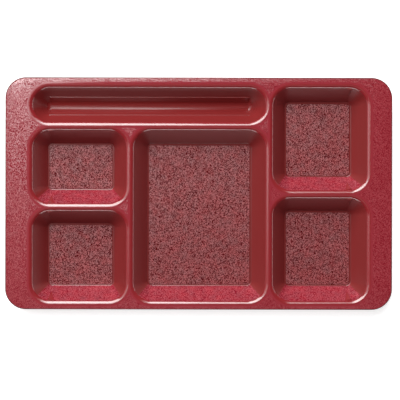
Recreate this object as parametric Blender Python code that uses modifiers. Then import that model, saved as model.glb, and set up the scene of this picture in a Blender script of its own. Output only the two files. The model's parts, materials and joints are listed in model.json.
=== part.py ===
"""Six-compartment serving tray, moulded in one piece from coloured plastic.

Lengths are in metres and +Z is up. The origin is the middle of the tray's outline, on the
table that it rests on. The cutlery trough lies along the back (+Y), two pockets of unlike
width are at the left (-X), the largest pocket is in the middle and two square ones are at
the right (+X).
"""

import math

import bmesh
import bpy
from mathutils import Vector

# Flat rim, from the tray's outer edge to the wall of the nearest pocket
RIM_LEFT = 0.0266
RIM_RIGHT = 0.0249
RIM_BACK = 0.0099
RIM_FRONT = 0.0083
OUTER_CORNER_RADIUS = 0.0205
RIM_DROP = 0.0050
EDGE_ROUNDING = 0.0010

# Pocket openings and the ridge between two of them, wall to wall
RIDGE = 0.0069
LEFT_LENGTH = 0.0920
CENTRE_LENGTH = 0.1308
RIGHT_LENGTH = 0.0929
CENTRE_WIDTH = 0.1687
LEFT_BACK_WIDTH = 0.0730
TROUGH_WIDTH = 0.0348
TROUGH_END_FLAT = 0.0004
FLOOR_CORNER_RADIUS = 0.0026

# Section through a pocket's wall
SHELL = 0.0024
POCKET_DEPTH = 0.0190
WALL_ANGLE = math.radians(52)
LIP_RADIUS = 0.0040
FILLET_RADIUS = 0.0028

# Ledge half way down the trough's wall
LEDGE_DEPTH = 0.0124
LEDGE_WIDTH = 0.0008

# Stacking lug, a small wedge that stands out of a wall just under the lip
LUG_WIDTH = 0.0074
LUG_RUN = 0.0080
LUG_REACH = 0.0020
LUG_LEAN = 0.0020
LUG_FROM_SIDE = 0.0180
LUG_ROOT = 0.0010

# How finely the round stretches are divided
CORNER_SEGMENTS = 6
LIP_SEGMENTS = 4
FILLET_SEGMENTS = 3
EDGE_SEGMENTS = 3
SHARP_ANGLE = math.radians(60)
SMOOTH_ANGLE = math.radians(30)

# Surface of the plastic
PLASTIC_COLOUR = (0.300, 0.027, 0.032, 1.0)
PLASTIC_ROUGHNESS = 0.42

# Sizes that follow from the ones above
TRAY_LENGTH = RIM_LEFT + LEFT_LENGTH + RIDGE + CENTRE_LENGTH + RIDGE + RIGHT_LENGTH + RIM_RIGHT
TRAY_WIDTH = RIM_BACK + TROUGH_WIDTH + RIDGE + CENTRE_WIDTH + RIM_FRONT
TRAY_HEIGHT = POCKET_DEPTH + SHELL
WALL_SLOPE = math.tan(WALL_ANGLE)
LIP_RUN = LIP_RADIUS * math.sin(WALL_ANGLE)
LIP_FALL = LIP_RADIUS * (1 - math.cos(WALL_ANGLE))
FILLET_RUN = FILLET_RADIUS * math.sin(WALL_ANGLE)
FILLET_TOP = POCKET_DEPTH - FILLET_RADIUS * (1 - math.cos(WALL_ANGLE))
WALL_RUN = (FILLET_TOP - LIP_FALL) / WALL_SLOPE
OPENING_CORNER_RADIUS = FLOOR_CORNER_RADIUS + WALL_RUN + FILLET_RUN


class Pocket:
    """One compartment: its opening where the lip meets the wall, and its ledge if it has one."""

    def __init__(self, left, right, front, back, ledge=0.0, end_flat=0.0):
        self.left = left
        self.right = right
        self.front = front
        self.back = back
        self.ledge = ledge
        half_width = min(right - left, back - front) / 2
        self.corner_radius = min(OPENING_CORNER_RADIUS + ledge, half_width - end_flat / 2)


def pockets():
    """The six compartments, laid out from the rims, the ridges and their own sizes."""
    left = -TRAY_LENGTH / 2 + RIM_LEFT
    left_end = left + LEFT_LENGTH
    centre = left_end + RIDGE
    centre_end = centre + CENTRE_LENGTH
    right = centre_end + RIDGE
    right_end = right + RIGHT_LENGTH

    front = -TRAY_WIDTH / 2 + RIM_FRONT
    back = TRAY_WIDTH / 2 - RIM_BACK
    trough_front = back - TROUGH_WIDTH
    middle_back = trough_front - RIDGE
    left_split = middle_back - LEFT_BACK_WIDTH
    right_width = (back - front - RIDGE) / 2

    return {
        "trough": Pocket(left, centre_end, trough_front, back, LEDGE_WIDTH, TROUGH_END_FLAT),
        "centre": Pocket(centre, centre_end, front, middle_back),
        "left_back": Pocket(left, left_end, left_split, middle_back),
        "left_front": Pocket(left, left_end, front, left_split - RIDGE),
        "right_back": Pocket(right, right_end, back - right_width, back),
        "right_front": Pocket(right, right_end, front, front + right_width),
    }


def wall_profile(ledge):
    """Pairs of inset and depth down a pocket's wall, from the rim over the lip to the floor.

    The inset counts from where the lip ends, so it is negative on the lip.
    """
    profile = []
    for step in range(LIP_SEGMENTS + 1):
        angle = WALL_ANGLE * step / LIP_SEGMENTS
        inset = LIP_RADIUS * math.sin(angle) - LIP_RUN
        profile.append((inset, LIP_RADIUS * (1 - math.cos(angle))))
    if ledge:
        ledge_inset = (LEDGE_DEPTH - LIP_FALL) / WALL_SLOPE
        profile.append((ledge_inset, LEDGE_DEPTH))
        profile.append((ledge_inset + ledge, LEDGE_DEPTH))
    floor_inset = WALL_RUN + ledge + FILLET_RUN
    for step in range(FILLET_SEGMENTS + 1):
        angle = WALL_ANGLE * (1 - step / FILLET_SEGMENTS)
        inset = floor_inset - FILLET_RADIUS * math.sin(angle)
        profile.append((inset, POCKET_DEPTH - FILLET_RADIUS * (1 - math.cos(angle))))
    return profile


def rounded_outline(left, right, front, back, radius, height):
    """Points round a rectangle with round corners, anticlockwise from its right side."""
    centres = (
        (right - radius, back - radius),
        (left + radius, back - radius),
        (left + radius, front + radius),
        (right - radius, front + radius),
    )
    points = []
    for quarter, (x, y) in enumerate(centres):
        for step in range(CORNER_SEGMENTS + 1):
            angle = math.pi / 2 * (quarter + step / CORNER_SEGMENTS)
            points.append(Vector((x + radius * math.cos(angle), y + radius * math.sin(angle), height)))
    return points


def pocket_outline(pocket, inset, depth):
    """The pocket's outline at one level of its wall, parallel to its opening."""
    return rounded_outline(
        pocket.left + inset,
        pocket.right - inset,
        pocket.front + inset,
        pocket.back - inset,
        pocket.corner_radius - inset,
        TRAY_HEIGHT - depth,
    )


def add_ring(mesh, points):
    """A closed ring of vertices and edges."""
    ring = [mesh.verts.new(point) for point in points]
    for index, vertex in enumerate(ring):
        mesh.edges.new((ring[index - 1], vertex))
    return ring


def ring_edges(mesh, ring):
    return [mesh.edges.get((ring[index - 1], vertex)) for index, vertex in enumerate(ring)]


def extrude_ring(mesh, ring, points):
    """Extrude a ring and move the new one, vertex by vertex, to the given points."""
    made = bmesh.ops.extrude_edge_only(mesh, edges=ring_edges(mesh, ring))["geom"]
    fresh = {item for item in made if isinstance(item, bmesh.types.BMVert)}
    new_ring = []
    for vertex, point in zip(ring, points):
        copies = (edge.other_vert(vertex) for edge in vertex.link_edges)
        copy = next(other for other in copies if other in fresh)
        copy.co = point
        new_ring.append(copy)
    return new_ring


def tray_surface():
    """The tray's upper surface as an open sheet: rim, turned-down edge and six pockets."""
    mesh = bmesh.new()
    half_length, half_width = TRAY_LENGTH / 2, TRAY_WIDTH / 2
    outer_size = (-half_length, half_length, -half_width, half_width, OUTER_CORNER_RADIUS)
    outer_ring = add_ring(mesh, rounded_outline(*outer_size, TRAY_HEIGHT))
    openings = []
    for pocket in pockets().values():
        profile = wall_profile(pocket.ledge)
        ring = add_ring(mesh, pocket_outline(pocket, *profile[0]))
        openings.append((pocket, profile, ring))

    # The rim and the ridges are one flat face with six holes
    bmesh.ops.triangle_fill(mesh, use_beauty=True, edges=mesh.edges[:], normal=(0, 0, 1))

    extrude_ring(mesh, outer_ring, rounded_outline(*outer_size, TRAY_HEIGHT - RIM_DROP))
    for pocket, profile, ring in openings:
        for inset, depth in profile[1:]:
            ring = extrude_ring(mesh, ring, pocket_outline(pocket, inset, depth))
        bmesh.ops.edgeloop_fill(mesh, edges=ring_edges(mesh, ring))

    bmesh.ops.recalc_face_normals(mesh, faces=mesh.faces[:])
    lowest = min(mesh.faces, key=lambda face: face.calc_center_median().z)
    lowest.normal_update()
    if lowest.normal.z < 0:
        bmesh.ops.reverse_faces(mesh, faces=mesh.faces[:])
    data = bpy.data.meshes.new("moulded_tray")
    mesh.to_mesh(data)
    mesh.free()
    return data


def lug_mesh(pocket, wall, side):
    """A wedge on the pocket's back (wall 1) or front (wall -1), leaning to its outer side.

    Its ridge runs from a point that reaches out under the lip down to the wall, and its base
    is sunk into the wall by LUG_ROOT.
    """
    middle = pocket.left + LUG_FROM_SIDE if side < 0 else pocket.right - LUG_FROM_SIDE
    wall_line = pocket.back if wall > 0 else pocket.front
    top_height = TRAY_HEIGHT - LIP_FALL
    top = Vector((middle + side * LUG_LEAN, wall_line - wall * LUG_REACH, top_height))
    base = (
        Vector((middle - LUG_WIDTH / 2, wall_line, top_height)),
        Vector((middle + LUG_WIDTH / 2, wall_line, top_height)),
        Vector((middle, wall_line - wall * LUG_RUN, top_height - LUG_RUN * WALL_SLOPE)),
    )
    sink = 1 + LUG_ROOT / (LUG_REACH * math.sin(WALL_ANGLE))
    mesh = bmesh.new()
    mesh.verts.new(top)
    for corner in base:
        mesh.verts.new(top + (corner - top) * sink)
    bmesh.ops.convex_hull(mesh, input=mesh.verts[:])
    bmesh.ops.recalc_face_normals(mesh, faces=mesh.faces[:])
    data = bpy.data.meshes.new("stacking_lug")
    mesh.to_mesh(data)
    mesh.free()
    return data


def plastic():
    """Cranberry-red moulding plastic with a satin surface."""
    material = bpy.data.materials.new("cranberry_plastic")
    material.use_nodes = True
    material.diffuse_color = PLASTIC_COLOUR
    shader = material.node_tree.nodes["Principled BSDF"]
    shader.inputs["Base Color"].default_value = PLASTIC_COLOUR
    shader.inputs["Roughness"].default_value = PLASTIC_ROUGHNESS
    shader.inputs["Metallic"].default_value = 0.0
    return material


def new_collection(name):
    collection = bpy.data.collections.new(name)
    bpy.context.scene.collection.children.link(collection)
    return collection


def add_lugs(collection):
    """Two stacking lugs in each of the four small pockets, near the tray's ends."""
    layout = pockets()
    for name, side in (("left_back", -1), ("left_front", -1), ("right_back", 1), ("right_front", 1)):
        for wall, wall_name in ((1, "back"), (-1, "front")):
            data = lug_mesh(layout[name], wall, side)
            lug = bpy.data.objects.new(f"lug_{name}_{wall_name}", data)
            lug.hide_render = True
            lug.display_type = "WIRE"
            collection.objects.link(lug)


def add_tray(collection, lugs):
    """The tray: its surface made a shell, with rounded outer edges and the lugs joined on."""
    data = tray_surface()
    data.materials.append(plastic())
    tray = bpy.data.objects.new("moulded_tray", data)
    collection.objects.link(tray)

    shell = tray.modifiers.new("shell", "SOLIDIFY")
    shell.thickness = SHELL
    shell.offset = -1
    shell.use_even_offset = True

    rounding = tray.modifiers.new("rounded_edge", "BEVEL")
    rounding.limit_method = "ANGLE"
    rounding.angle_limit = SHARP_ANGLE
    rounding.width = EDGE_ROUNDING
    rounding.segments = EDGE_SEGMENTS

    join = tray.modifiers.new("stacking_lugs", "BOOLEAN")
    join.operation = "UNION"
    join.operand_type = "COLLECTION"
    join.collection = lugs
    join.solver = "EXACT"

    data.shade_smooth()
    data.set_sharp_from_angle(angle=SMOOTH_ANGLE)


def main():
    for item in list(bpy.data.objects):
        bpy.data.objects.remove(item)
    parts = new_collection("compartment_tray")
    lugs = new_collection("lugs_to_join")
    add_lugs(lugs)
    add_tray(parts, lugs)


main()
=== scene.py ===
"""Looks of the compartment tray: a fine smooth mesh in one grained and polished red plastic.

Lengths are in metres, +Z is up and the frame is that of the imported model: the origin is the
middle of the tray's outline, on the table.
"""

import json
import math

import bmesh
import bpy
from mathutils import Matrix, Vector

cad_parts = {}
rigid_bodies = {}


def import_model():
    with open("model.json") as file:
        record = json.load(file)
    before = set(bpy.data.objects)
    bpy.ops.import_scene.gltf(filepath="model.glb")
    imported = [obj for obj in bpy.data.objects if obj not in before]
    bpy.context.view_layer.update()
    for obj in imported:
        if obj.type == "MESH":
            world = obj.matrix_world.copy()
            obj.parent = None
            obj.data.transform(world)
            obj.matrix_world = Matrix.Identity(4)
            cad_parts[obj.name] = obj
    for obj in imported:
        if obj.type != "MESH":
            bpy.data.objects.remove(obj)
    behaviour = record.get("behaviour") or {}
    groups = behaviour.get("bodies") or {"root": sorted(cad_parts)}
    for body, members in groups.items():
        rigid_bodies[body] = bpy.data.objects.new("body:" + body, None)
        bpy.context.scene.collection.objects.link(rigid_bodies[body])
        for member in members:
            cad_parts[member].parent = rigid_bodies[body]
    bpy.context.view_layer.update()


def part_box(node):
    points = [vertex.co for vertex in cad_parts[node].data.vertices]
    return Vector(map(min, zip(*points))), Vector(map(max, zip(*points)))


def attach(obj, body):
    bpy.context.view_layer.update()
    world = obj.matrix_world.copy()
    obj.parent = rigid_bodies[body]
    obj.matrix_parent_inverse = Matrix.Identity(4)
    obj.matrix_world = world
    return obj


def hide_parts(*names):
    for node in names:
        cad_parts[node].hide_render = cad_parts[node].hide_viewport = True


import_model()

# Flat rim, from the tray's outer edge to the wall of the nearest pocket
RIM_LEFT = 0.02695
RIM_RIGHT = 0.02485
RIM_BACK = 0.01025
RIM_FRONT = 0.00865
OUTER_CORNER_RADIUS = 0.0205
RIM_DROP = 0.0050
EDGE_ROUNDING = 0.0010
LOWER_EDGE_ROUNDING = 0.0006

# Pocket openings and the ridge between two of them, wall to wall
RIDGE = 0.0076
LEFT_LENGTH = 0.0920
RIGHT_LENGTH = 0.0922
LEFT_BACK_WIDTH = 0.0723
RIGHT_BACK_WIDTH = 0.10055
RIGHT_FRONT_WIDTH = 0.10105
TROUGH_WIDTH = 0.0338
TROUGH_RIDGE = 0.0079
TROUGH_END_FLAT = 0.0004
FLOOR_CORNER_RADIUS = 0.0042

# Section through a pocket's wall, whose angle counts from level
SHELL = 0.00236
POCKET_DEPTH = 0.0190
WALL_ANGLE = math.radians(53)
LIP_RADIUS = 0.0047
FILLET_RADIUS = 0.0008
TROUGH_FILLET_RADIUS = 0.0050

# Smooth border round the grained patch of a floor
BORDER_LEFT = 0.0013
BORDER_RIGHT = 0.0014
BORDER_FRONT = 0.0007
BORDER_BACK = 0.0016
GRAIN_CORNER_RADIUS = 0.0026

# How far the trough's bottom lies in front of the middle of its opening
TROUGH_LEAN = 0.0008

# Ledge in the trough's wall: it rises a little from the wall to its crown, and it fades into a
# plain wall over a part of each round end, where its points are spread in depth
LEDGE_DEPTH = 0.0120
LEDGE_WIDTH = 0.0008
LEDGE_ROUNDING = 0.00006
LEDGE_RISE = 0.00012
LEDGE_FADE = math.radians(14)
LEDGE_SPREAD = 0.0002

# Stacking lug, a small wedge that stands out of a wall just under the lip
LUG_WIDTH = 0.0074
LUG_RUN = 0.0080
LUG_REACH = 0.0020
BACK_LUG_REACH = 0.0013
LUG_LEAN = 0.0020
LUG_FROM_SIDE = 0.01765
LUG_ROOT = 0.0006

# How finely the round stretches are divided
CORNER_SEGMENTS = 24
LIP_SEGMENTS = 14
FILLET_SEGMENTS = 8
LEDGE_SEGMENTS = 3
EDGE_SEGMENTS = 5
LOWER_EDGE_SEGMENTS = 3

# Edges over the sharp angle are rounded, and those under the smooth one are shaded smooth
SHARP_ANGLE = math.radians(70)
SMOOTH_ANGLE = math.radians(30)

# A face of a front wall lies on its straight stretch where its perimeter is longer than this
STRAIGHT_PERIMETER = 0.02

# Sizes that follow from the ones above
WALL_SLOPE = math.tan(WALL_ANGLE)
LIP_RUN = LIP_RADIUS * math.sin(WALL_ANGLE)
LIP_FALL = LIP_RADIUS * (1 - math.cos(WALL_ANGLE))

# Slots of the ten finishes on the tray
RIM_FINISH = 0
LIP_FINISH = 1
WALL_FINISH = 2
FRONT_WALL_FINISH = 3
FLOOR_FINISH = 4
TROUGH_FINISH = 5
BORDER_FINISH = 6
EDGE_FINISH = 7
LEDGE_FINISH = 8
TROUGH_FLOOR_FINISH = 9

# Colours of the plastic, with painted light and shade in some of them, and its index of refraction
RIM_COLOUR = (0.312, 0.016, 0.028)
LIP_COLOUR = (0.300, 0.022, 0.027)
# The walls but the front ones are painted a darker red than the rim as their shade
SHADED_WALL_COLOUR = (0.234, 0.020, 0.020)
# The front walls, which face the lamps behind the tray, are painted a lighter red as their light
LIT_FRONT_WALL_COLOUR = (0.300, 0.007, 0.023)
# The border and fillet at a wall's foot are painted darker as the shade in that crease
BORDER_SHADE_COLOUR = (0.180, 0.020, 0.020)
FLOOR_COLOUR = (0.191, 0.005, 0.009)
# The trough is painted a darker red than the rim as its shade
SHADED_TROUGH_COLOUR = (0.236, 0.021, 0.021)
# The trough's ledge is painted paler as the thin highlight along it
LEDGE_HIGHLIGHT_COLOUR = (0.260, 0.040, 0.040)
# The tray's turned-down outer edge is painted dark as the shade and dark outline round it
EDGE_SHADE_COLOUR = (0.160, 0.030, 0.032)
PLASTIC_IOR = 1.6

# The rim is smooth in a border round each opening, and its grain starts over a short blend
SMOOTH_BORDER = 0.0055
BORDER_BLEND = 0.0004
SMOOTH_ROUGHNESS = 0.08
RIM_ROUGHNESS = 0.17

# Grain: how far its bumps lie apart, and how high they are
RIM_GRAIN = 0.0007
RIM_GRAIN_HEIGHT = 0.00012
LIP_GRAIN_HEIGHT = 0.00004
FLOOR_GRAIN = 0.0006
FLOOR_GRAIN_HEIGHT = 0.00018
FRONT_WALL_GRAIN_HEIGHT = 0.00010

# Surfaces without grain are faintly wavy
WAVE = 0.006
WAVE_HEIGHT = 0.00003
WALL_WAVE_HEIGHT = 0.00005

# Noise of the grain, the waves and the patches
NOISE_DETAIL = 2.0
NOISE_ROUGHNESS = 0.6

# Single grains: by what share their colour (speckle) and gloss (glint) swing, and how much white
# is added to the brightest of them as a painted sheen
RIM_SPECKLE = 0.26
RIM_GLINT = 0.98
RIM_PAINTED_SHEEN = 0.032
FLOOR_SPECKLE = 0.50
FLOOR_GLINT = 0.98
FLOOR_PAINTED_SHEEN = 0.056
FRONT_WALL_SPECKLE = 0.22
FRONT_WALL_GLINT = 0.95

# Size of a single grain, and the band of its random value that is stretched to 0 to 1
SPECK = 0.00053
SPECKLE_LOW = 0.42
SPECKLE_HIGH = 0.58

# Wide patches: their size, the band of the noise that they use, and by what share they swing
PATCH = 0.007
PATCH_LOW = 0.3
PATCH_HIGH = 0.7
PATCH_AMOUNT = 0.15

# The photograph's view: straight down, with the camera over a point left of and behind the middle
CAMERA_X = -0.0254
CAMERA_Y = 0.0330
CAMERA_ABOVE_RIM = 0.995
VIEW_WIDTH_AT_RIM = 0.3935
VIEW_CENTRE_X = 0.0012
VIEW_CENTRE_Y = -0.0064
CAMERA_ROLL = math.radians(0.12)
CLIP_NEAR = 0.05
CLIP_FAR = 20.0
SENSOR_WIDTH_MM = 36.0

# How far the lamps stand from the tray, and how faintly the world, white to the camera, lights it
LAMP_DISTANCE = 3.0
WORLD_LEVEL = 0.01

# White table top, whose glow shows to the camera and in reflections but lights nothing
TABLE_SIZE = 9.0
TABLE_LEVEL = 0.8
TABLE_GLOW = 0.75


class Pocket:
    """One compartment: its outline where the lip meets the wall, and the sizes of its section."""

    def __init__(self, name, left, right, front, back):
        self.name = name
        self.left = left
        self.right = right
        self.front = front
        self.back = back
        self.trough = name == "trough"
        self.ledge = LEDGE_WIDTH if self.trough else 0.0
        self.fillet = TROUGH_FILLET_RADIUS if self.trough else FILLET_RADIUS
        fillet_fall = self.fillet * (1 - math.cos(WALL_ANGLE))
        wall_run = (POCKET_DEPTH - fillet_fall - LIP_FALL) / WALL_SLOPE
        self.floor_inset = wall_run + self.ledge + self.fillet * math.sin(WALL_ANGLE)
        self.corner_radius = FLOOR_CORNER_RADIUS + self.floor_inset
        if self.trough:
            self.corner_radius = (back - front - TROUGH_END_FLAT) / 2


def pockets(low, high):
    """The six compartments, laid out in the CAD model's outline."""
    left = low.x + RIM_LEFT
    left_end = left + LEFT_LENGTH
    centre = left_end + RIDGE
    right_end = high.x - RIM_RIGHT
    right = right_end - RIGHT_LENGTH
    centre_end = right - RIDGE

    front = low.y + RIM_FRONT
    back = high.y - RIM_BACK
    trough_front = back - TROUGH_WIDTH
    middle_back = trough_front - TROUGH_RIDGE
    left_split = middle_back - LEFT_BACK_WIDTH

    return [
        Pocket("trough", left, centre_end, trough_front, back),
        Pocket("centre", centre, centre_end, front, middle_back),
        Pocket("left_back", left, left_end, left_split, middle_back),
        Pocket("left_front", left, left_end, front, left_split - RIDGE),
        Pocket("right_back", right, right_end, back - RIGHT_BACK_WIDTH, back),
        Pocket("right_front", right, right_end, front, front + RIGHT_FRONT_WIDTH),
    ]


def arc_profile(centre_inset, centre_depth, radius, start, end, segments):
    """Points of inset and depth on an arc; the angle counts from straight up, towards the pocket."""
    points = []
    for step in range(segments + 1):
        angle = start + (end - start) * step / segments
        inset = centre_inset + radius * math.sin(angle)
        points.append((inset, centre_depth - radius * math.cos(angle)))
    return points


def ledge_profile(ledge):
    """The ledge in the wall: a hollow at its foot and a crown at its edge, with small radii.

    The second list holds as many points of the plain wall that takes its place at the ends.
    """
    inset = (LEDGE_DEPTH - LIP_FALL) / WALL_SLOPE
    bend = LEDGE_ROUNDING * math.tan(WALL_ANGLE / 2)
    hollow = []
    crown = []
    for step in range(LEDGE_SEGMENTS + 1):
        angle = WALL_ANGLE * (1 - step / LEDGE_SEGMENTS)
        run = bend - LEDGE_ROUNDING * math.sin(angle)
        hollow.append((inset + run, LEDGE_DEPTH - LEDGE_ROUNDING * (1 - math.cos(angle))))
        angle = WALL_ANGLE * step / LEDGE_SEGMENTS
        run = LEDGE_ROUNDING * math.sin(angle) - bend
        fall = LEDGE_ROUNDING * (1 - math.cos(angle)) - LEDGE_RISE
        crown.append((inset + ledge + run, LEDGE_DEPTH + fall))
    plain = []
    for index in range(len(hollow + crown)):
        depth = LEDGE_DEPTH + (index - LEDGE_SEGMENTS - 0.5) * LEDGE_SPREAD
        plain.append(((depth - LIP_FALL) / WALL_SLOPE, depth))
    return hollow + crown, plain


def wall_profile(pocket):
    """Points of inset and depth down a pocket's wall, from the rim over the lip to the floor.

    The inset counts from where the lip ends, so it is negative on the lip. The second list
    holds the same points on a wall without its ledge, and the third one names the zone of each
    strip between two points.
    """
    profile = arc_profile(-LIP_RUN, LIP_RADIUS, LIP_RADIUS, 0.0, WALL_ANGLE, LIP_SEGMENTS)
    plain = list(profile)
    zones = ["lip"] * LIP_SEGMENTS
    if pocket.ledge:
        points, plain_points = ledge_profile(pocket.ledge)
        profile += points
        plain += plain_points
        bend_points = len(points) // 2
        zones += ["wall"] * bend_points + ["ledge"] + ["wall"] * (bend_points - 1)
    for step in range(FILLET_SEGMENTS + 1):
        angle = WALL_ANGLE * (1 - step / FILLET_SEGMENTS)
        inset = pocket.floor_inset - pocket.fillet * math.sin(angle)
        depth = POCKET_DEPTH - pocket.fillet * (1 - math.cos(angle))
        profile.append((inset, depth))
        plain.append((inset - pocket.ledge, depth))
        zones.append("fillet" if step else "wall")
    return profile, plain, zones


def edge_profile():
    """Points of inset and depth over the tray's rounded outer edge and down to its lower one."""
    radius = EDGE_ROUNDING
    arc = arc_profile(radius, radius, radius, 0.0, -math.pi / 2, EDGE_SEGMENTS)
    return arc + [(0.0, RIM_DROP)]


def rounded_outline(left, right, front, back, radius, height):
    """Points round a rectangle with round corners, anticlockwise from its right side."""
    centres = (
        (right - radius, back - radius),
        (left + radius, back - radius),
        (left + radius, front + radius),
        (right - radius, front + radius),
    )
    points = []
    for quarter, (x, y) in enumerate(centres):
        for step in range(CORNER_SEGMENTS + 1):
            angle = math.pi / 2 * (quarter + step / CORNER_SEGMENTS)
            points.append(Vector((x + radius * math.cos(angle), y + radius * math.sin(angle), height)))
    return points


def level_outline(pocket, inset, depth, top):
    """The pocket's outline at one level of its wall; the trough's moves to the front with depth."""
    lean = TROUGH_LEAN * depth / POCKET_DEPTH if pocket.trough else 0.0
    return rounded_outline(
        pocket.left + inset,
        pocket.right - inset,
        pocket.front + inset - lean,
        pocket.back - inset - lean,
        pocket.corner_radius - inset,
        top - depth,
    )


def pocket_outline(pocket, place, plain_place, top):
    """The outline at one level, with the ledge on the straight walls and a plain wall at the ends."""
    points = level_outline(pocket, *place, top)
    if place == plain_place:
        return points
    plain = level_outline(pocket, *plain_place, top)
    blend = []
    for index, (point, plain_point) in enumerate(zip(points, plain)):
        quarter, step = divmod(index, CORNER_SEGMENTS + 1)
        turn = math.pi / 2 * step / CORNER_SEGMENTS
        # Even corners run from an end's middle to a straight wall, and odd ones the other way
        from_straight = turn if quarter % 2 else math.pi / 2 - turn
        blend.append(plain_point.lerp(point, max(0.0, 1 - from_straight / LEDGE_FADE)))
    return blend


def outer_outline(low, high, inset, depth):
    """The tray's outer edge at one level."""
    return rounded_outline(
        low.x + inset,
        high.x - inset,
        low.y + inset,
        high.y - inset,
        OUTER_CORNER_RADIUS - inset,
        high.z - depth,
    )


def grain_outline(pocket, height):
    """The edge of the grained patch on the pocket's floor."""
    inset = pocket.floor_inset
    return rounded_outline(
        pocket.left + inset + BORDER_LEFT,
        pocket.right - inset - BORDER_RIGHT,
        pocket.front + inset + BORDER_FRONT,
        pocket.back - inset - BORDER_BACK,
        GRAIN_CORNER_RADIUS,
        height,
    )


def add_ring(mesh, points):
    """A closed ring of vertices and edges."""
    ring = [mesh.verts.new(point) for point in points]
    for index, vertex in enumerate(ring):
        mesh.edges.new((ring[index - 1], vertex))
    return ring


def ring_edges(mesh, ring):
    """The edges of a ring, in the order of its vertices."""
    return [mesh.edges.get((ring[index - 1], vertex)) for index, vertex in enumerate(ring)]


def extrude_ring(mesh, ring, points, finish):
    """Extrude a ring and move the new one, vertex by vertex, to the given points."""
    made = bmesh.ops.extrude_edge_only(mesh, edges=ring_edges(mesh, ring))["geom"]
    fresh = {item for item in made if isinstance(item, bmesh.types.BMVert)}
    for item in made:
        if isinstance(item, bmesh.types.BMFace):
            item.material_index = finish
    new_ring = []
    for vertex, point in zip(ring, points):
        copies = (edge.other_vert(vertex) for edge in vertex.link_edges)
        copy = next(other for other in copies if other in fresh)
        copy.co = point
        new_ring.append(copy)
    return new_ring


def finish_of(zone, pocket):
    """Which finish a strip of a pocket has."""
    if zone == "lip":
        return LIP_FINISH
    if zone == "ledge":
        return LEDGE_FINISH
    if pocket.trough:
        return TROUGH_FINISH if zone == "wall" else TROUGH_FLOOR_FINISH
    if zone == "wall":
        return WALL_FINISH
    return FLOOR_FINISH if zone == "floor" else BORDER_FINISH


def give_lit_finish_to_front_walls(mesh):
    """Give the pockets' front walls grain and a lighter red, as painted light, up to the right corner's
    middle.
    """
    for face in mesh.faces:
        if face.material_index != WALL_FINISH:
            continue
        face.normal_update()
        faces_back = face.normal.y > abs(face.normal.x)
        straight = face.calc_perimeter() > STRAIGHT_PERIMETER
        if faces_back and (straight or face.normal.x < 0):
            face.material_index = FRONT_WALL_FINISH


def tray_surface(low, high):
    """The tray's upper surface as an open sheet: rim, turned-down edge and six pockets."""
    mesh = bmesh.new()
    top = high.z
    edge = edge_profile()
    edge_ring = add_ring(mesh, outer_outline(low, high, *edge[0]))
    openings = []
    for pocket in pockets(low, high):
        profile, plain, zones = wall_profile(pocket)
        ring = add_ring(mesh, level_outline(pocket, *profile[0], top))
        openings.append((pocket, profile, plain, zones, ring))

    # The rim and the ridges are one flat face with six holes
    bmesh.ops.triangle_fill(mesh, use_beauty=True, edges=mesh.edges[:], normal=(0, 0, 1))
    for face in mesh.faces:
        face.material_index = RIM_FINISH

    for place in edge[1:]:
        edge_ring = extrude_ring(mesh, edge_ring, outer_outline(low, high, *place), EDGE_FINISH)

    for pocket, profile, plain, zones, ring in openings:
        for place, plain_place, zone in zip(profile[1:], plain[1:], zones):
            points = pocket_outline(pocket, place, plain_place, top)
            ring = extrude_ring(mesh, ring, points, finish_of(zone, pocket))
        if not pocket.trough:
            points = grain_outline(pocket, top - POCKET_DEPTH)
            ring = extrude_ring(mesh, ring, points, BORDER_FINISH)
        floor = bmesh.ops.edgeloop_fill(mesh, edges=ring_edges(mesh, ring))["faces"]
        for face in floor:
            face.material_index = finish_of("floor", pocket)

    bmesh.ops.recalc_face_normals(mesh, faces=mesh.faces[:])
    lowest = min(mesh.faces, key=lambda face: face.calc_center_median().z)
    lowest.normal_update()
    if lowest.normal.z < 0:
        bmesh.ops.reverse_faces(mesh, faces=mesh.faces[:])
    give_lit_finish_to_front_walls(mesh)
    data = bpy.data.meshes.new("tray_skin")
    mesh.to_mesh(data)
    mesh.free()
    return data


def lug_mesh(pocket, wall, side, top_height):
    """A wedge on the pocket's back (wall 1) or front (wall -1), leaning to its outer side.

    Its ridge runs from a point that reaches out under the lip down to the wall, and its base
    is sunk into the wall by LUG_ROOT.
    """
    middle = pocket.left + LUG_FROM_SIDE if side < 0 else pocket.right - LUG_FROM_SIDE
    wall_line = pocket.back if wall > 0 else pocket.front
    reach = BACK_LUG_REACH if wall > 0 else LUG_REACH
    top = Vector((middle + side * LUG_LEAN, wall_line - wall * reach, top_height))
    base = (
        Vector((middle - LUG_WIDTH / 2, wall_line, top_height)),
        Vector((middle + LUG_WIDTH / 2, wall_line, top_height)),
        Vector((middle, wall_line - wall * LUG_RUN, top_height - LUG_RUN * WALL_SLOPE)),
    )
    sink = 1 + LUG_ROOT / (reach * math.sin(WALL_ANGLE))
    mesh = bmesh.new()
    mesh.verts.new(top)
    for corner in base:
        mesh.verts.new(top + (corner - top) * sink)
    bmesh.ops.convex_hull(mesh, input=mesh.verts[:])
    bmesh.ops.recalc_face_normals(mesh, faces=mesh.faces[:])
    data = bpy.data.meshes.new("stacking_lug")
    mesh.to_mesh(data)
    mesh.free()
    return data


def add_lugs(low, high):
    """Two stacking lugs in each of the four small pockets, near the tray's ends."""
    collection = bpy.data.collections.new("lugs_to_join")
    bpy.context.scene.collection.children.link(collection)
    layout = {pocket.name: pocket for pocket in pockets(low, high)}
    for name, side in (("left_back", -1), ("left_front", -1), ("right_back", 1), ("right_front", 1)):
        for wall, wall_name in ((1, "back"), (-1, "front")):
            data = lug_mesh(layout[name], wall, side, high.z - LIP_FALL)
            lug = bpy.data.objects.new(f"lug_{name}_{wall_name}", data)
            collection.objects.link(lug)
    return collection


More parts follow.
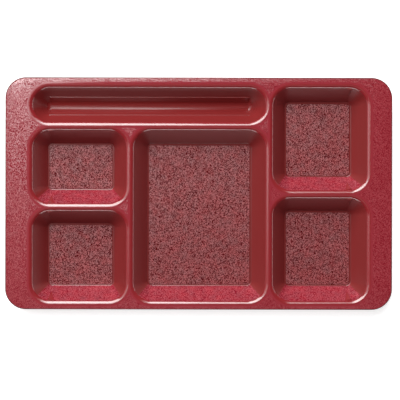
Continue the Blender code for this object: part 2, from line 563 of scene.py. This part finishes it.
def apply_modifiers(item):
    """Replace the object's mesh by what its modifiers make of it."""
    bpy.context.view_layer.update()
    graph = bpy.context.evaluated_depsgraph_get()
    data = bpy.data.meshes.new_from_object(item.evaluated_get(graph))
    item.modifiers.clear()
    item.data = data


def make_tray(low, high):
    """The tray: its surface made a shell, with rounded lower edges and the lugs joined on."""
    data = tray_surface(low, high)
    layout = pockets(low, high)
    finishes = {
        RIM_FINISH: rim_plastic(layout),
        LIP_FINISH: lip_plastic(),
        WALL_FINISH: shaded_wall_plastic(),
        FRONT_WALL_FINISH: lit_front_wall_plastic(),
        FLOOR_FINISH: floor_plastic(),
        TROUGH_FINISH: shaded_trough_plastic(),
        BORDER_FINISH: border_shade_plastic(),
        EDGE_FINISH: edge_shade_plastic(),
        LEDGE_FINISH: ledge_highlight_plastic(),
        TROUGH_FLOOR_FINISH: trough_floor_plastic(),
    }
    for finish in sorted(finishes):
        data.materials.append(finishes[finish])
    tray = bpy.data.objects.new("tray_skin", data)
    bpy.context.scene.collection.objects.link(tray)

    shell = tray.modifiers.new("shell", "SOLIDIFY")
    shell.thickness = SHELL
    shell.offset = -1
    shell.use_even_offset = True

    edge = tray.modifiers.new("lower_edge", "BEVEL")
    edge.width = LOWER_EDGE_ROUNDING
    edge.segments = LOWER_EDGE_SEGMENTS
    edge.limit_method = "ANGLE"
    edge.angle_limit = SHARP_ANGLE

    # A back lug looks like its wall, and a front one shines like the lip above it
    lugs = add_lugs(low, high)
    for lug in lugs.objects:
        finish = WALL_FINISH if lug.name.endswith("back") else LIP_FINISH
        lug.data.materials.append(finishes[finish])
    join = tray.modifiers.new("stacking_lugs", "BOOLEAN")
    join.operation = "UNION"
    join.operand_type = "COLLECTION"
    join.collection = lugs
    join.solver = "MANIFOLD"
    apply_modifiers(tray)
    for lug in list(lugs.objects):
        bpy.data.objects.remove(lug)
    bpy.data.collections.remove(lugs)

    tray.data.shade_smooth()
    tray.data.set_sharp_from_angle(angle=SMOOTH_ANGLE)
    return tray


def new_material(name, colour, roughness, gloss):
    """A plain plastic; gives the material, its node tree and its shader.

    Gloss is the specular level: 0.5 for common plastic and 1 for a hard shine.
    """
    material = bpy.data.materials.new(name)
    material.use_nodes = True
    material.diffuse_color = (*colour, 1.0)
    shader = material.node_tree.nodes["Principled BSDF"]
    shader.inputs["Base Color"].default_value = (*colour, 1.0)
    shader.inputs["Metallic"].default_value = 0.0
    shader.inputs["Roughness"].default_value = roughness
    shader.inputs["IOR"].default_value = PLASTIC_IOR
    shader.inputs["Specular IOR Level"].default_value = gloss
    return material, material.node_tree, shader


def math_node(tree, operation, first, second=None):
    """A math node on sockets or numbers; gives its output."""
    node = tree.nodes.new("ShaderNodeMath")
    node.operation = operation
    for socket, value in zip(node.inputs, (first, second)):
        if value is None:
            continue
        if isinstance(value, (int, float)):
            socket.default_value = value
        else:
            tree.links.new(value, socket)
    return node.outputs["Value"]


def vector_node(tree, operation, first, second=None):
    """A vector math node on a socket and fixed numbers; gives its output."""
    node = tree.nodes.new("ShaderNodeVectorMath")
    node.operation = operation
    tree.links.new(first, node.inputs[0])
    if second is not None:
        node.inputs[1].default_value = second
    return node.outputs["Value" if operation == "LENGTH" else "Vector"]


def distance_to_openings(tree, place, layout):
    """Distance on the rim to the nearest pocket's opening, as a socket."""
    nearest = None
    for pocket in layout:
        radius = pocket.corner_radius
        middle = ((pocket.left + pocket.right) / 2, (pocket.front + pocket.back) / 2, 0.0)
        half_length = (pocket.right - pocket.left) / 2
        half_width = (pocket.back - pocket.front) / 2
        half = (half_length - radius, half_width - radius, 1.0)
        offset = vector_node(tree, "SUBTRACT", place, middle)
        offset = vector_node(tree, "ABSOLUTE", offset)
        offset = vector_node(tree, "SUBTRACT", offset, half)
        offset = vector_node(tree, "MAXIMUM", offset, (0.0, 0.0, 0.0))
        distance = math_node(tree, "SUBTRACT", vector_node(tree, "LENGTH", offset), radius)
        nearest = distance if nearest is None else math_node(tree, "MINIMUM", nearest, distance)
    return nearest


def noise_node(tree, size):
    """Noise in the tray's own space; size is about how far two of its bumps lie apart."""
    place = tree.nodes.new("ShaderNodeTexCoord").outputs["Object"]
    noise = tree.nodes.new("ShaderNodeTexNoise")
    noise.inputs["Scale"].default_value = 1 / size
    noise.inputs["Detail"].default_value = NOISE_DETAIL
    noise.inputs["Roughness"].default_value = NOISE_ROUGHNESS
    tree.links.new(place, noise.inputs["Vector"])
    return noise.outputs["Fac"]


def map_range(tree, value, from_low, from_high, to_low, to_high):
    """A socket's value, moved from one range to another and held inside it."""
    node = tree.nodes.new("ShaderNodeMapRange")
    node.inputs["From Min"].default_value = from_low
    node.inputs["From Max"].default_value = from_high
    node.inputs["To Min"].default_value = to_low
    node.inputs["To Max"].default_value = to_high
    tree.links.new(value, node.inputs["Value"])
    return node.outputs["Result"]


def add_relief(tree, shader, relief, height, mask=None):
    """Fine grain or a faint waviness, as bump on the shader's normal."""
    bump = tree.nodes.new("ShaderNodeBump")
    bump.inputs["Distance"].default_value = height
    if mask is not None:
        tree.links.new(mask, bump.inputs["Strength"])
    tree.links.new(relief, bump.inputs["Height"])
    tree.links.new(bump.outputs["Normal"], shader.inputs["Normal"])


def speckle_node(tree, mask=None):
    """A random value from 0 to 1 for each grain, and 0.5 where the mask is 0."""
    place = tree.nodes.new("ShaderNodeTexCoord").outputs["Object"]
    cells = tree.nodes.new("ShaderNodeTexVoronoi")
    cells.inputs["Scale"].default_value = 1 / SPECK
    tree.links.new(place, cells.inputs["Vector"])
    speck = map_range(tree, cells.outputs["Color"], SPECKLE_LOW, SPECKLE_HIGH, 0.0, 1.0)
    if mask is None:
        return speck
    swing = math_node(tree, "MULTIPLY", math_node(tree, "SUBTRACT", speck, 0.5), mask)
    return math_node(tree, "ADD", swing, 0.5)


def add_speckle(tree, shader, speck, amount, glint, painted_sheen):
    """Let colour and gloss swing from grain to grain; the brightest grains get a painted white sheen."""
    red, green, blue, alpha = shader.inputs["Base Color"].default_value
    gloss = shader.inputs["Specular IOR Level"].default_value
    low, high = 1 - amount, 1 + amount
    mix = tree.nodes.new("ShaderNodeMix")
    mix.data_type = "RGBA"
    mix.inputs["A"].default_value = (red * low, green * low, blue * low, alpha)
    bright_grain_and_sheen = (red * high + painted_sheen, green * high + painted_sheen, blue * high + painted_sheen, alpha)
    mix.inputs["B"].default_value = bright_grain_and_sheen
    tree.links.new(speck, mix.inputs["Factor"])
    tree.links.new(mix.outputs["Result"], shader.inputs["Base Color"])
    shine = map_range(tree, speck, 0.0, 1.0, gloss * (1 - glint), gloss * (1 + glint))
    tree.links.new(shine, shader.inputs["Specular IOR Level"])


def add_patches(tree, shader):
    """Wide faint patches: redder and duller in some places, greyer and shinier in others."""
    noise = noise_node(tree, PATCH)
    patch = map_range(tree, noise, PATCH_LOW, PATCH_HIGH, -PATCH_AMOUNT, PATCH_AMOUNT)
    colour = shader.inputs["Base Color"].links[0].from_socket
    shine = shader.inputs["Specular IOR Level"].links[0].from_socket
    parts = tree.nodes.new("ShaderNodeSeparateColor")
    whole = tree.nodes.new("ShaderNodeCombineColor")
    tree.links.new(colour, parts.inputs["Color"])
    redder = math_node(tree, "MULTIPLY", parts.outputs["Red"], math_node(tree, "ADD", patch, 1.0))
    tree.links.new(redder, whole.inputs["Red"])
    tree.links.new(parts.outputs["Green"], whole.inputs["Green"])
    tree.links.new(parts.outputs["Blue"], whole.inputs["Blue"])
    tree.links.new(whole.outputs["Color"], shader.inputs["Base Color"])
    duller = math_node(tree, "MULTIPLY", shine, math_node(tree, "SUBTRACT", 1.0, patch))
    tree.links.new(duller, shader.inputs["Specular IOR Level"])


def wavy_plastic(name, colour, roughness, gloss, height=WAVE_HEIGHT):
    """A plastic without grain, whose surface is faintly wavy."""
    material, tree, shader = new_material(name, colour, roughness, gloss)
    add_relief(tree, shader, noise_node(tree, WAVE), height)
    return material


def rim_plastic(layout):
    """The rim and the ridges: grained, but for a smooth border round each opening."""
    material, tree, shader = new_material("rim_plastic", RIM_COLOUR, RIM_ROUGHNESS, gloss=0.84)
    place = tree.nodes.new("ShaderNodeTexCoord").outputs["Object"]
    distance = distance_to_openings(tree, place, layout)
    grained = map_range(tree, distance, SMOOTH_BORDER, SMOOTH_BORDER + BORDER_BLEND, 0.0, 1.0)
    add_relief(tree, shader, noise_node(tree, RIM_GRAIN), RIM_GRAIN_HEIGHT, grained)
    # The brightest grains get a painted white sheen
    add_speckle(tree, shader, speckle_node(tree, grained), RIM_SPECKLE, RIM_GLINT, RIM_PAINTED_SHEEN)
    roughness = map_range(tree, grained, 0.0, 1.0, SMOOTH_ROUGHNESS, RIM_ROUGHNESS)
    tree.links.new(roughness, shader.inputs["Roughness"])
    return material


def lip_plastic():
    """The shiny lips of the openings and the front lugs, with a trace of the rim's grain."""
    material, tree, shader = new_material("lip_plastic", LIP_COLOUR, roughness=0.16, gloss=1.0)
    add_relief(tree, shader, noise_node(tree, RIM_GRAIN), LIP_GRAIN_HEIGHT)
    return material


def shaded_wall_plastic():
    """The satin walls of the five pockets, and their back lugs, painted darker than the rim as shade."""
    return wavy_plastic("shaded_wall_plastic", SHADED_WALL_COLOUR, roughness=0.30, gloss=0.72, height=WALL_WAVE_HEIGHT)


def lit_front_wall_plastic():
    """The pockets' front walls: grained, dull, and painted a lighter red as the light on them."""
    material, tree, shader = new_material(
        "lit_front_wall_plastic", LIT_FRONT_WALL_COLOUR, roughness=0.42, gloss=0.25
    )
    add_relief(tree, shader, noise_node(tree, FLOOR_GRAIN), FRONT_WALL_GRAIN_HEIGHT)
    # The brightest grains get a painted white sheen
    add_speckle(tree, shader, speckle_node(tree), FRONT_WALL_SPECKLE, FRONT_WALL_GLINT, FLOOR_PAINTED_SHEEN)
    add_patches(tree, shader)
    return material


def floor_plastic():
    """The grained floors of the five pockets."""
    material, tree, shader = new_material("floor_plastic", FLOOR_COLOUR, roughness=0.45, gloss=0.46)
    add_relief(tree, shader, noise_node(tree, FLOOR_GRAIN), FLOOR_GRAIN_HEIGHT)
    # The brightest grains get a painted white sheen
    add_speckle(tree, shader, speckle_node(tree), FLOOR_SPECKLE, FLOOR_GLINT, FLOOR_PAINTED_SHEEN)
    add_patches(tree, shader)
    return material


def border_shade_plastic():
    """Smooth line and fillet round each grained floor, painted darker as the shade at the wall's foot.
    """
    return wavy_plastic("border_shade_plastic", BORDER_SHADE_COLOUR, roughness=0.18, gloss=0.78)


def shaded_trough_plastic():
    """The trough's wall above and below its ledge, painted a darker red than the rim as its shade."""
    return wavy_plastic("shaded_trough_plastic", SHADED_TROUGH_COLOUR, roughness=0.28, gloss=0.50)


def ledge_highlight_plastic():
    """The ledge in the trough's wall, shinier than the wall and painted paler as its thin highlight."""
    return new_material("ledge_highlight_plastic", LEDGE_HIGHLIGHT_COLOUR, roughness=0.20, gloss=1.00)[0]


def trough_floor_plastic():
    """The trough's round bottom, in the same darker red painted as shade."""
    return wavy_plastic("trough_floor_plastic", SHADED_TROUGH_COLOUR, roughness=0.22, gloss=0.30)


def edge_shade_plastic():
    """The dull outer edge of the tray, painted dark as the shade and dark outline round it."""
    return new_material("edge_shade_plastic", EDGE_SHADE_COLOUR, roughness=0.50, gloss=0.25)[0]


def make_floor():
    """A white table top, which keeps a faint shadow."""
    mesh = bmesh.new()
    bmesh.ops.create_grid(mesh, x_segments=1, y_segments=1, size=TABLE_SIZE / 2)
    data = bpy.data.meshes.new("table_top")
    mesh.to_mesh(data)
    mesh.free()
    floor = bpy.data.objects.new("table_top", data)
    bpy.context.scene.collection.objects.link(floor)
    material = bpy.data.materials.new("white_table")
    material.use_nodes = True
    tree = material.node_tree
    tree.nodes.clear()
    output = tree.nodes.new("ShaderNodeOutputMaterial")
    matte = tree.nodes.new("ShaderNodeBsdfDiffuse")
    matte.inputs["Color"].default_value = (TABLE_LEVEL, TABLE_LEVEL, TABLE_LEVEL, 1.0)
    glow = tree.nodes.new("ShaderNodeEmission")
    seen = tree.nodes.new("ShaderNodeLightPath")
    share = math_node(tree, "MAXIMUM", seen.outputs["Is Camera Ray"], seen.outputs["Is Glossy Ray"])
    share = math_node(tree, "MAXIMUM", share, seen.outputs["Is Transmission Ray"])
    tree.links.new(math_node(tree, "MULTIPLY", share, TABLE_GLOW), glow.inputs["Strength"])
    both = tree.nodes.new("ShaderNodeAddShader")
    tree.links.new(matte.outputs["BSDF"], both.inputs[0])
    tree.links.new(glow.outputs["Emission"], both.inputs[1])
    tree.links.new(both.outputs["Shader"], output.inputs["Surface"])
    data.materials.append(material)
    return floor


def make_camera(rim_height):
    """The photograph's camera, straight above the tray, with a shifted frame."""
    data = bpy.data.cameras.new("camera")
    data.sensor_width = SENSOR_WIDTH_MM
    data.lens = SENSOR_WIDTH_MM * CAMERA_ABOVE_RIM / VIEW_WIDTH_AT_RIM
    data.shift_x = (VIEW_CENTRE_X - CAMERA_X) / VIEW_WIDTH_AT_RIM
    data.shift_y = (VIEW_CENTRE_Y - CAMERA_Y) / VIEW_WIDTH_AT_RIM
    data.clip_start = CLIP_NEAR
    data.clip_end = CLIP_FAR
    camera = bpy.data.objects.new("camera", data)
    camera.location = (CAMERA_X, CAMERA_Y, rim_height + CAMERA_ABOVE_RIM)
    camera.rotation_euler = (0.0, 0.0, CAMERA_ROLL)
    bpy.context.scene.collection.objects.link(camera)
    bpy.context.scene.camera = camera


def add_lamp(name, azimuth, elevation, width, height, radiance):
    """A soft panel that faces the tray; azimuth counts clockwise from the back (+Y)."""
    data = bpy.data.lights.new(name, "AREA")
    data.shape = "RECTANGLE"
    data.size = width
    data.size_y = height
    data.energy = radiance * math.pi * width * height
    lamp = bpy.data.objects.new(name, data)
    turn = math.radians(azimuth)
    rise = math.radians(elevation)
    level = math.cos(rise)
    towards = Vector((math.sin(turn) * level, math.cos(turn) * level, math.sin(rise)))
    lamp.location = towards * LAMP_DISTANCE
    lamp.rotation_mode = "QUATERNION"
    lamp.rotation_quaternion = towards.to_track_quat("Z", "Y")
    lamp.visible_camera = False
    bpy.context.scene.collection.objects.link(lamp)


def make_lights():
    """A big softbox behind the tray, small ones overhead, and fill from the other sides."""
    world = bpy.data.worlds.new("studio")
    bpy.context.scene.world = world
    world.use_nodes = True
    tree = world.node_tree
    background = tree.nodes["Background"]
    background.inputs["Color"].default_value = (1.0, 1.0, 1.0, 1.0)
    seen = tree.nodes.new("ShaderNodeLightPath")
    level = map_range(tree, seen.outputs["Is Camera Ray"], 0.0, 1.0, WORLD_LEVEL, 1.0)
    tree.links.new(level, background.inputs["Strength"])

    add_lamp("back_softbox", azimuth=-22, elevation=44, width=1.96, height=2.90, radiance=6.1)
    add_lamp("back_core", azimuth=-6, elevation=48, width=1.00, height=1.20, radiance=2.0)
    add_lamp("back_right_strip", azimuth=16, elevation=46, width=0.60, height=1.70, radiance=1.8)
    add_lamp("overhead_softbox", azimuth=-45, elevation=72, width=0.90, height=0.80, radiance=3.2)
    add_lamp("back_overhead", azimuth=-10, elevation=74, width=0.60, height=0.50, radiance=2.4)
    add_lamp("left_overhead", azimuth=-90, elevation=74, width=0.80, height=0.60, radiance=0.5)
    add_lamp("left_fill", azimuth=-76, elevation=46, width=1.60, height=1.60, radiance=1.4)
    add_lamp("left_low_fill", azimuth=-90, elevation=16, width=2.00, height=0.90, radiance=0.6)
    add_lamp("front_low_fill", azimuth=180, elevation=6, width=2.60, height=0.56, radiance=4.6)
    add_lamp("front_overhead", azimuth=180, elevation=68, width=1.60, height=1.00, radiance=0.3)
    add_lamp("right_fill", azimuth=90, elevation=6, width=2.20, height=0.56, radiance=2.0)


box_low, box_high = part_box("moulded_tray")
tray = make_tray(box_low, box_high)
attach(tray, "root")
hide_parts("moulded_tray")
make_floor()
make_camera(box_high.z)
make_lights()
bpy.context.scene.view_settings.view_transform = "Standard"
